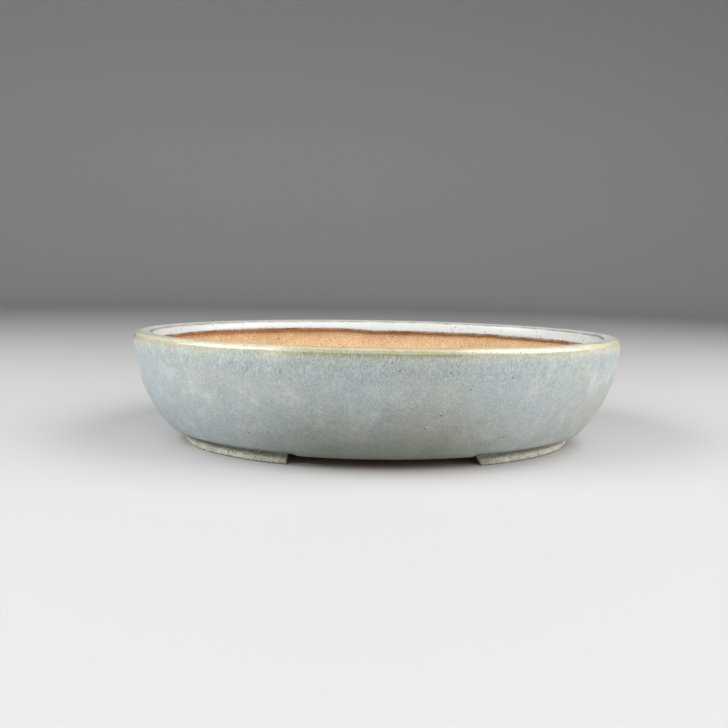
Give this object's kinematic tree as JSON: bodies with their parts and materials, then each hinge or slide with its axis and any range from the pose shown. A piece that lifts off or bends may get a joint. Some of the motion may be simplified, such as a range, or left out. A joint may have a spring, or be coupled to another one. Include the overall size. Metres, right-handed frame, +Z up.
{
  "type": "oval bonsai pot",
  "caption": "Shallow oval planting pot with a bowed wall, a thick inward lip, a drained floor and four low feet, glazed outside and bare clay inside.",
  "frame": {"origin": "centre of the footprint, at the height of the surface that the four soles stand on", "axes": "+X along the pot's length, +Y from the front to the back, +Z up out of its mouth"},
  "size_m": [0.27, 0.2, 0.06],
  "materials": {
    "body_glaze": "satin grey-green glaze with fine specks",
    "foot_glaze": "thin cream glaze over rough clay",
    "bare_clay": "unglazed buff-orange stoneware with grit"
  },
  "bodies": {
    "root": {"floor_slab": "bare_clay", "side_wall": "bare_clay", "rim_lip": "bare_clay", "foot_front_left": "bare_clay", "foot_front_right": "bare_clay", "foot_back_left": "bare_clay", "foot_back_right": "bare_clay", "glaze_coat": "body_glaze", "foot_glaze_front_left": "foot_glaze", "foot_glaze_front_right": "foot_glaze", "foot_glaze_back_left": "foot_glaze", "foot_glaze_back_right": "foot_glaze"}
  },
  "joints": []
}
